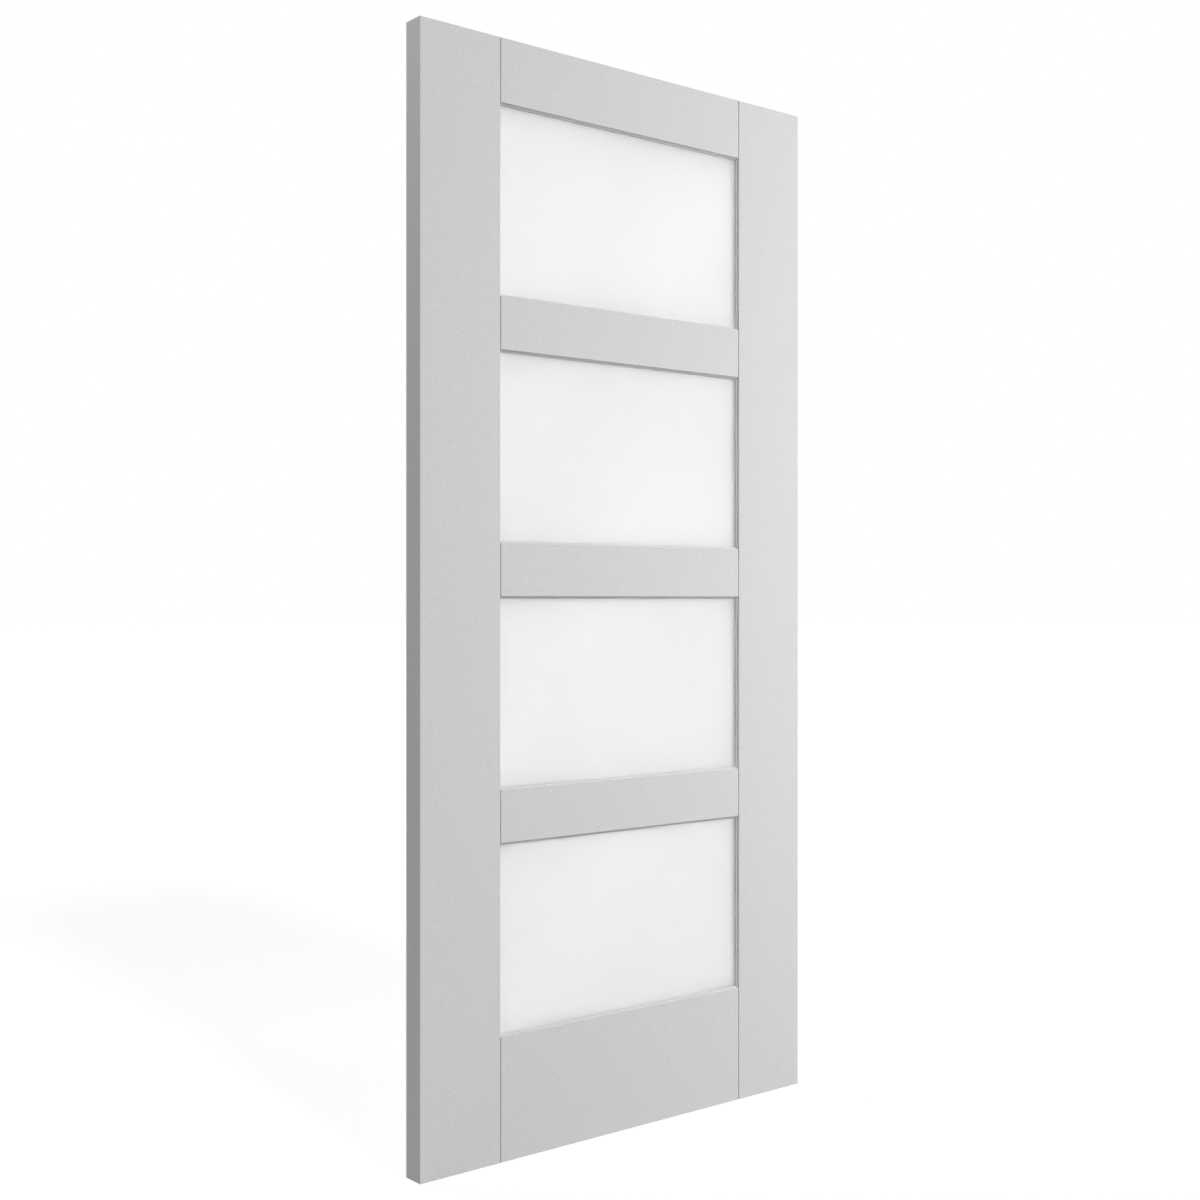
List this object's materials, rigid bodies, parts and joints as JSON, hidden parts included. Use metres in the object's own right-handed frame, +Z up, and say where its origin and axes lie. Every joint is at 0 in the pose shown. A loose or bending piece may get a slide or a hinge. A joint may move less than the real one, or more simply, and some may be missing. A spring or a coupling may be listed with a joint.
{
  "type": "glazed interior door leaf",
  "caption": "White primed timber door leaf with flat stiles and rails and a column of equal lights of obscure white glass, ready to hang.",
  "frame": {"origin": "middle of the hanging edge: half way up it and half way through the leaf", "axes": "+X across the leaf from the hanging edge to the closing edge, -Y out of the front face, +Z up"},
  "size_m": [0.915, 0.044, 1.981],
  "materials": {
    "painted_timber": "satin white primer",
    "painted_bead": "satin white primer",
    "obscure_glass": "satin-etched white",
    "spacer": "white coated",
    "setting_block": "matte"
  },
  "bodies": {
    "root": {"left_stile": "painted_timber", "right_stile": "painted_timber", "top_rail": "painted_timber", "mid_rail_1": "painted_timber", "mid_rail_2": "painted_timber", "mid_rail_3": "painted_timber", "bottom_rail": "painted_timber", "front_pane_1": "obscure_glass", "back_pane_1": "obscure_glass", "spacer_1": "spacer", "setting_blocks_1": "setting_block", "left_bead_1": "painted_bead", "right_bead_1": "painted_bead", "top_bead_1": "painted_bead", "bottom_bead_1": "painted_bead", "front_pane_2": "obscure_glass", "back_pane_2": "obscure_glass", "spacer_2": "spacer", "setting_blocks_2": "setting_block", "left_bead_2": "painted_bead", "right_bead_2": "painted_bead", "top_bead_2": "painted_bead", "bottom_bead_2": "painted_bead", "front_pane_3": "obscure_glass", "back_pane_3": "obscure_glass", "spacer_3": "spacer", "setting_blocks_3": "setting_block", "left_bead_3": "painted_bead", "right_bead_3": "painted_bead", "top_bead_3": "painted_bead", "bottom_bead_3": "painted_bead", "front_pane_4": "obscure_glass", "back_pane_4": "obscure_glass", "spacer_4": "spacer", "setting_blocks_4": "setting_block", "left_bead_4": "painted_bead", "right_bead_4": "painted_bead", "top_bead_4": "painted_bead", "bottom_bead_4": "painted_bead"}
  },
  "joints": []
}
